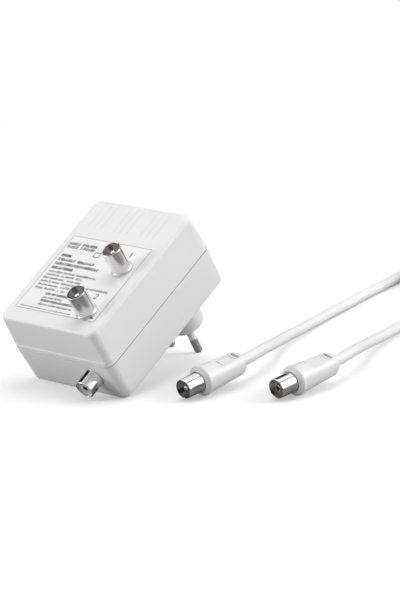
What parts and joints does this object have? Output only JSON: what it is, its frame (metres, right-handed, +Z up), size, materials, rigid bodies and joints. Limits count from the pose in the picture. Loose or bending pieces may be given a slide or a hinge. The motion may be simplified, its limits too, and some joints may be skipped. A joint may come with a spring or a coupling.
{
  "type": "tv signal amplifier",
  "caption": "Plug-in antenna amplifier: a white casing with coaxial outputs on its face, an antenna input on its end, mains pins at its back, and a coaxial connecting lead.",
  "frame": {"origin": "Middle of the amplifier's outline on the surface that it lies on, without its lead", "axes": "+Z up; +X to the right across the front face, seen from the front; +Y from the antenna input towards the mains pins. The casing leans back, with its front face 31.5 degrees from level."},
  "size_m": [0.1313, 0.3188, 0.0762],
  "materials": {
    "front_casing": "fine satin, near white",
    "rear_casing": "fine satin, near white",
    "label_film": "printed white film",
    "screw_steel": "zinc plated",
    "barrel_nickel": "satin nickel plate",
    "barrel_chrome": "bright plate",
    "connector_white": "moulded insulator",
    "contact_nickel": "bright nickel plate",
    "contact_brass": "bright",
    "mains_pin_nickel": "bright nickel plate",
    "sleeve_grey": "moulded nylon",
    "wire_brown": "insulated wire",
    "wire_blue": "insulated wire",
    "wire_red": "insulated wire",
    "coax_black": "insulated cable",
    "fuse_ceramic": "glazed",
    "core_iron": "varnished laminations",
    "bobbin_nylon": "moulded nylon",
    "copper_winding": "enamelled copper wire",
    "board_laminate": "solder resist",
    "tinned_steel": "tinned sheet",
    "capacitor_sleeve": "shrunk sleeve",
    "semiconductor_black": "moulded epoxy",
    "resistor_tan": "lacquer",
    "ceramic_orange": "dipped lacquer",
    "ferrite_grey": "ferrite",
    "copper_coil": "enamelled copper wire",
    "lead_white": "soft satin jacket",
    "hood_white": "moulded, satin",
    "tie_white": "moulded strap"
  },
  "bodies": {
    "amplifier": {"front_shell": "front_casing", "rear_shell": "rear_casing", "label": "label_film", "casing_screws": "screw_steel", "output_1_barrel": "barrel_nickel", "output_1_insulator": "connector_white", "output_1_pin": "contact_nickel", "output_2_barrel": "barrel_nickel", "output_2_insulator": "connector_white", "output_2_pin": "contact_nickel", "input_barrel": "barrel_chrome", "input_insulator": "connector_white", "input_contact": "contact_brass", "input_coax": "coax_black", "mains_pin_left": "mains_pin_nickel", "mains_pin_right": "mains_pin_nickel", "pin_sleeve_left": "sleeve_grey", "pin_sleeve_right": "sleeve_grey", "live_wire": "wire_brown", "neutral_wire": "wire_blue", "thermal_fuse": "fuse_ceramic", "transformer_core": "core_iron", "transformer_bobbin": "bobbin_nylon", "primary_winding": "copper_winding", "secondary_winding": "copper_winding", "secondary_leads": "wire_red", "circuit_board": "board_laminate", "shield_frame": "tinned_steel", "shield_lid": "tinned_steel", "smoothing_capacitor": "capacitor_sleeve", "voltage_regulator": "semiconductor_black", "rectifier_diodes": "semiconductor_black", "resistors": "resistor_tan", "ceramic_capacitors": "ceramic_orange", "rf_transistor": "semiconductor_black", "splitter_core": "ferrite_grey", "tuning_coils": "copper_coil"},
    "lead": {"lead_male_barrel": "barrel_chrome", "lead_male_insulator": "connector_white", "lead_male_pin": "contact_nickel", "lead_male_hood": "hood_white", "lead_female_barrel": "barrel_chrome", "lead_female_insulator": "connector_white", "lead_female_contact": "contact_nickel", "lead_female_hood": "hood_white", "lead_run_male": "lead_white", "lead_coil": "lead_white", "lead_run_female": "lead_white", "cable_tie": "tie_white"}
  },
  "joints": [
    {"name": "lead_lift", "type": "slide", "parent": "amplifier", "child": "lead", "axis": [0, 0, 1], "range_m": [0, 0.12]}
  ]
}
